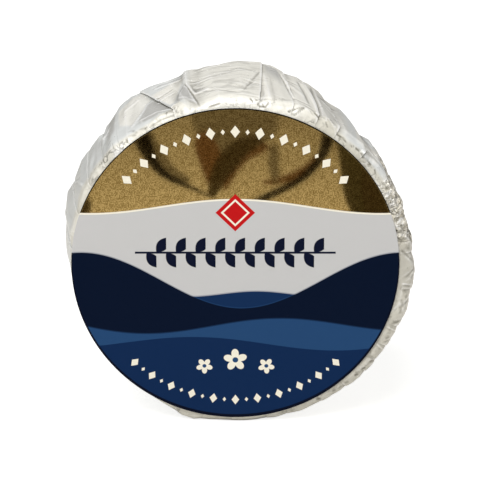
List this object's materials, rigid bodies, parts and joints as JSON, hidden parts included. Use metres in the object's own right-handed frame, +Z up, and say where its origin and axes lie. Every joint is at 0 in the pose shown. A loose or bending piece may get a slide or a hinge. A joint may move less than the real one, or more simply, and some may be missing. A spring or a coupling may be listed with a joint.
{
  "type": "wrapped soft blue cheese wheel",
  "caption": "Small round soft blue cheese in a folded white wrapper, standing on its rim, with a round printed label on its front face.",
  "frame": {"origin": "middle of the box's underside, on the flattened spot of the rim that the wheel stands on", "axes": "+Z up; +Y along the wheel's axis from the label to the plain back; the label faces -Y; +X to the right when facing the label"},
  "size_m": [0.0974, 0.0388, 0.0961],
  "materials": {
    "wrapper": "satin white coated wrapping foil with folds",
    "label": "printed label with a gold foil top, a white band and blue waves"
  },
  "bodies": {
    "root": {"wrapper": "wrapper", "label": "label"}
  },
  "joints": []
}
